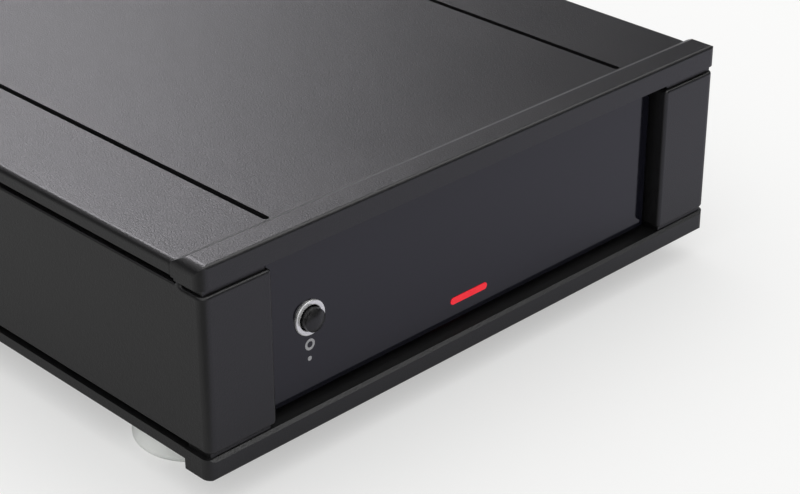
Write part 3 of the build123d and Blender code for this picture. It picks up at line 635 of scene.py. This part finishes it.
finishes = {
    "case_paint": ("casePaint", sprayedGrain, casePaint),
    "fascia_gloss": ("fasciaGloss", polishedSkin, fasciaGloss),
    "inner_black": ("innerBlack", sprayedGrain, innerBlack),
    "button_cap": ("buttonBlack", sprayedGrain, buttonBlack),
    "bright_plate": ("brightPlate", turnedRings, brightPlate),
    "red_light": ("redLight", polishedSkin, redLight),
    "foot_shell": ("footShell", polishedSkin, footShell),
    "foot_core": ("footRubber", sprayedGrain, footRubber),
    "zinc_steel": ("zincSteel", sprayedGrain, zincSteel),
    "plain_steel": ("plainSteel", sprayedGrain, zincSteel),
    "black_steel": ("blackSteel", sprayedGrain, blackSteel),
    "gold_plate": ("goldPlate", turnedRings, goldPlate),
    "collar_red": ("redMoulding", sprayedGrain, redMoulding),
    "collar_white": ("collarWhite", sprayedGrain, whiteMoulding),
    "white_moulding": ("whiteMoulding", sprayedGrain, whiteMoulding),
    "black_moulding": ("blackMoulding", sprayedGrain, blackMoulding),
    "blue_moulding": ("blueMoulding", sprayedGrain, blueMoulding),
    "fuse_glass": ("clearGlass", polishedSkin, clearGlass),
    "board_green": ("boardMask", polishedSkin, boardMask),
    "winding": ("windingFilm", polishedSkin, windingFilm),
    "pad_rubber": ("padRubber", sprayedGrain, footRubber),
    "capacitor_sleeve": ("sleeveFilm", polishedSkin, sleeveFilm),
    "film_capacitor": ("dippedFilm", polishedSkin, dippedFilm),
    "black_aluminium": ("blackAluminium", sprayedGrain, blackAluminium),
    "chip_epoxy": ("chipEpoxy", sprayedGrain, blackMoulding),
    "lead_insulation": ("leadSkin", sprayedGrain, leadSkin),
}
slotMaterials = {slot: makeFinish(*finish) for slot, finish in finishes.items()}
for part in frame["record"]["subparts"]:
    nodes[part["node"]].data.materials.clear()
    nodes[part["node"]].data.materials.append(slotMaterials[part["material_slot"]])


def newPiece(name, mesh, material):
    # a printed mark, which stays on the case
    piece = bpy.data.objects.new(name, mesh)
    bpy.context.scene.collection.objects.link(piece)
    mesh.materials.clear()
    mesh.materials.append(material)
    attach(piece, "chassis")


printInk = {
    "effect": {
        "Light Tone": (0.36, 0.36, 0.37),
        "Dark Tone": (0.30, 0.30, 0.31),
        "Grain Size": 0.0003,
        "Mottle Size": 0.004,
        "Smooth": 0.45,
        "Rough": 0.6,
    },
    "bump": 0.05,
}
# The ring and the dot below the power button, in millimetres.
buttonMarks = {
    "marks": {
        # centre, inner radius, outer radius
        "buttonRing": ((-66.4, 34.83), 1.0, 1.85),
        "buttonDot": ((-66.6, 30.28), 0.05, 0.75),
    },
    "inkHeight": 0.05,
    "inkRound": 0.02,
    "steps": 72,
    "weldDistance": 1e-4,
}


def inkProfile(inner, outer, settings):
    high, ease = settings["inkHeight"], settings["inkRound"]
    return [
        (inner, 0),
        (inner, high - ease),
        (inner + ease, high),
        (outer - ease, high),
        (outer, high - ease),
        (outer, 0),
    ]


def turnedMesh(name, profile, centre, settings):
    # a closed ring: profile holds (radius, height) pairs, turned about -Y through centre
    shape = bmesh.new()
    rings = []
    for step in range(settings["steps"]):
        angle = 2 * math.pi * step / settings["steps"]
        along = Vector((math.cos(angle), 0, math.sin(angle))) * millimetre
        out = Vector((0, -millimetre, 0))
        rings.append([shape.verts.new(centre + along * far + out * high) for far, high in profile])
    for ring, following in zip(rings, rings[1:] + rings[:1]):
        sides = zip(ring, ring[1:] + ring[:1], following[1:] + following[:1], following)
        for side in sides:
            shape.faces.new(side)
    weldDistance = settings["weldDistance"] * millimetre
    bmesh.ops.remove_doubles(shape, verts=shape.verts, dist=weldDistance)
    bmesh.ops.recalc_face_normals(shape, faces=shape.faces)
    mesh = bpy.data.meshes.new(name)
    shape.to_mesh(mesh)
    shape.free()
    mesh.polygons.foreach_set("use_smooth", [True] * len(mesh.polygons))
    return mesh


inkMaterial = makeFinish("printInk", sprayedGrain, printInk)
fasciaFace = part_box("fascia_panel")[0].y
for markName, ((markX, markZ), inner, outer) in buttonMarks["marks"].items():
    markCentre = Vector((markX * millimetre, fasciaFace, markZ * millimetre))
    markProfile = inkProfile(inner, outer, buttonMarks)
    newPiece(markName, turnedMesh(markName, markProfile, markCentre, buttonMarks), inkMaterial)
print("printed ring and dot made")


legendInk = {
    "effect": {
        "Light Tone": (0.74, 0.74, 0.73),
        "Dark Tone": (0.66, 0.66, 0.65),
        "Grain Size": 0.0003,
        "Mottle Size": 0.004,
        "Smooth": 0.45,
        "Rough": 0.6,
    },
    "bump": 0.05,
}
# The lettering round the rear fittings, in millimetres.
rearLegends = {
    "inkHeight": 0.03,
    "words": [
        # text, height, x, z
        ("MM", 2.9, 70.0, 66.9),
        ("MC", 2.9, 50.0, 66.9),
        ("L", 3.2, 60.0, 58.0),
        ("R", 3.2, 60.0, 37.0),
        ("INPUT", 3.2, 60.0, 25.6),
        ("OUTPUT", 3.2, -26.0, 25.6),
        ("L", 3.2, -16.2, 58.0),
        ("R", 3.2, -16.2, 37.0),
        ("MM", 2.3, -5.8, 53.6),
        ("MC", 2.3, 1.8, 53.6),
    ],
    "capitalShare": 0.69,  # height of the built-in capitals over the text size
    "leverCount": 6,
    "leverCentre": 22.0,
    "leverPitch": 2.54,
    "leverRow": 55.4,
    "leverHeight": 2.0,
    "groundCentre": (90.0, 38.2),
    "groundBars": [(5.0, 0.0), (3.2, -1.3), (1.4, -2.6)],  # width and height of each bar
    "groundStem": 2.8,
    "groundLine": 0.5,
    "frameLine": 0.35,
    "inputFrame": ((43.0, 77.0), (29.4, 70.0)),
}


def addWord(shape, word, face, settings):
    # the letters of one word, read from behind, standing on the panel whose face is at face
    text, height, x, z = word
    thickness = settings["inkHeight"] * millimetre
    curve = bpy.data.curves.new("word", "FONT")
    curve.body = text
    curve.size = height * millimetre / settings["capitalShare"]
    curve.align_x = "CENTER"
    curve.align_y = "CENTER"
    curve.extrude = thickness / 2
    holder = bpy.data.objects.new("word", curve)
    mesh = bpy.data.meshes.new_from_object(holder)
    turn = Matrix(((-1, 0, 0), (0, 0, 1), (0, 1, 0))).to_4x4()
    place = Matrix.Translation((x * millimetre, face + thickness / 2, z * millimetre))
    mesh.transform(place @ turn)
    shape.from_mesh(mesh)
    bpy.data.objects.remove(holder)
    bpy.data.curves.remove(curve)
    bpy.data.meshes.remove(mesh)


def addBar(shape, bar, face, settings):
    x, z, width, height = (value * millimetre for value in bar)
    thickness = settings["inkHeight"] * millimetre
    size = Matrix.Diagonal((width, thickness, height, 1))
    place = Matrix.Translation((x, face + thickness / 2, z))
    bmesh.ops.create_cube(shape, size=1, matrix=place @ size)


def leverWords(settings):
    # the numbers over the loading levers, counted from the side nearer the inputs
    count, pitch, height = (settings[key] for key in ("leverCount", "leverPitch", "leverHeight"))
    firstX = settings["leverCentre"] + (count - 1) / 2 * pitch
    return [(str(k + 1), height, firstX - k * pitch, settings["leverRow"]) for k in range(count)]


def legendBars(settings):
    # the ground sign, then the frame round the inputs; each bar is x, z, width, height
    groundX, groundZ = settings["groundCentre"]
    line, stem = settings["groundLine"], settings["groundStem"]
    bars = [(groundX, groundZ + rise, width, line) for width, rise in settings["groundBars"]]
    bars.append((groundX, groundZ + stem / 2, line, stem))
    (left, right), (low, high) = settings["inputFrame"]
    line = settings["frameLine"]
    bars += [((left + right) / 2, z, right - left + line, line) for z in (low, high)]
    bars += [(x, (low + high) / 2, line, high - low + line) for x in (left, right)]
    return bars


def makeRearLegends(settings, face):
    shape = bmesh.new()
    for word in settings["words"] + leverWords(settings):
        addWord(shape, word, face, settings)
    for bar in legendBars(settings):
        addBar(shape, bar, face, settings)
    mesh = bpy.data.meshes.new("rearLegends")
    shape.to_mesh(mesh)
    shape.free()
    newPiece("rearLegends", mesh, makeFinish("legendInk", sprayedGrain, legendInk))


makeRearLegends(rearLegends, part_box("rear_panel")[1].y)
print("rear legends made")
